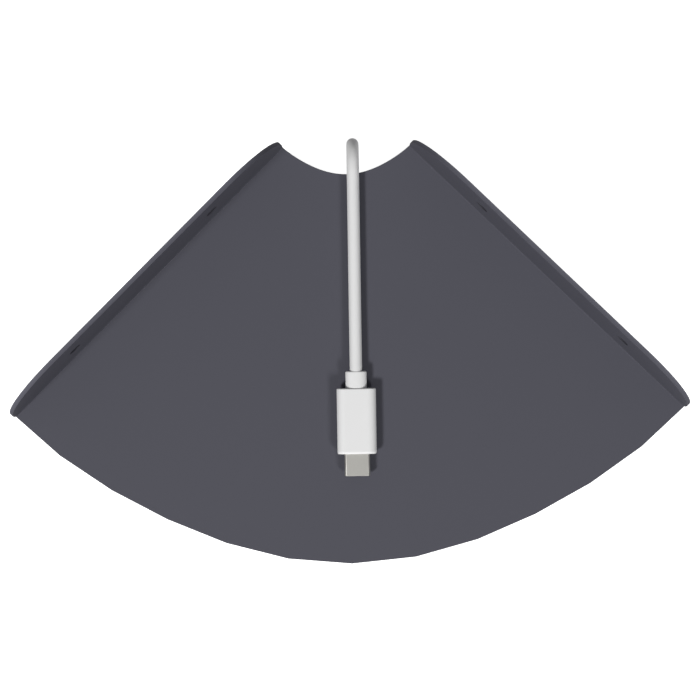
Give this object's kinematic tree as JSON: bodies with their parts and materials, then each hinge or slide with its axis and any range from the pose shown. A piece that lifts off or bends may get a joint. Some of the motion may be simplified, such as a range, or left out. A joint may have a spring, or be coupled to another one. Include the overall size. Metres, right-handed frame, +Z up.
{
  "type": "wireless charging pad",
  "caption": "Fan-shaped corner charging pad: tray with two upstanding screw flanges over a shallow coil housing, with a short cord and plug lying on its face.",
  "frame": {"origin": "middle of the pad's outline in plan, on the surface that its feet stand on; the cord and plug are not counted", "axes": "+Z up, +Y towards the notch where the cord turns over, +X to the right as seen from the rim"},
  "size_m": [0.2192, 0.1391, 0.048],
  "materials": {
    "tray_plastic": "fine matte texture, dark slate grey",
    "pan_plastic": "matte, a shade darker than the tray",
    "foot_rubber": "matt black",
    "screw_steel": "zinc-plated",
    "plug_steel": "satin nickel",
    "coil_copper": "enamelled copper",
    "ferrite": "sintered, dull",
    "carrier_plastic": "moulded black",
    "board_laminate": "green solder mask",
    "chip_black": "moulded epoxy",
    "capacitor_ceramic": "tan ceramic",
    "cord_white": "smooth white jacket",
    "plug_white": "satin white",
    "wire_red": "red insulation"
  },
  "bodies": {
    "root": {"base_pan": "pan_plastic", "board_screw_1": "screw_steel", "board_screw_2": "screw_steel", "board_screw_3": "screw_steel", "board_screw_4": "screw_steel", "bridge_mosfet_1": "chip_black", "bridge_mosfet_2": "chip_black", "carrier_screw_1": "screw_steel", "carrier_screw_2": "screw_steel", "carrier_screw_3": "screw_steel", "carrier_screw_4": "screw_steel", "case_screw_1": "screw_steel", "case_screw_2": "screw_steel", "case_screw_3": "screw_steel", "case_screw_4": "screw_steel", "case_screw_5": "screw_steel", "case_screw_6": "screw_steel", "charge_controller": "chip_black", "charging_coil": "coil_copper", "clamp_screw_1": "screw_steel", "clamp_screw_2": "screw_steel", "coil_carrier": "carrier_plastic", "coil_lead_1": "coil_copper", "coil_lead_2": "coil_copper", "control_board": "board_laminate", "cord": "cord_white", "cord_clamp": "carrier_plastic", "cord_gland": "plug_white", "ferrite_disc": "ferrite", "foot_front_centre": "foot_rubber", "foot_front_left": "foot_rubber", "foot_front_right": "foot_rubber", "foot_rear_left": "foot_rubber", "foot_rear_right": "foot_rubber", "inner_cord": "cord_white", "input_capacitor": "capacitor_ceramic", "input_inductor": "ferrite", "plug_contact_block": "chip_black", "plug_overmold": "plug_white", "plug_shell": "plug_steel", "plug_sleeve": "plug_white", "resonant_capacitor_1": "capacitor_ceramic", "resonant_capacitor_2": "capacitor_ceramic", "resonant_capacitor_3": "capacitor_ceramic", "resonant_capacitor_4": "capacitor_ceramic", "supply_wire_negative": "chip_black", "supply_wire_positive": "wire_red", "top_tray": "tray_plastic"}
  },
  "joints": []
}
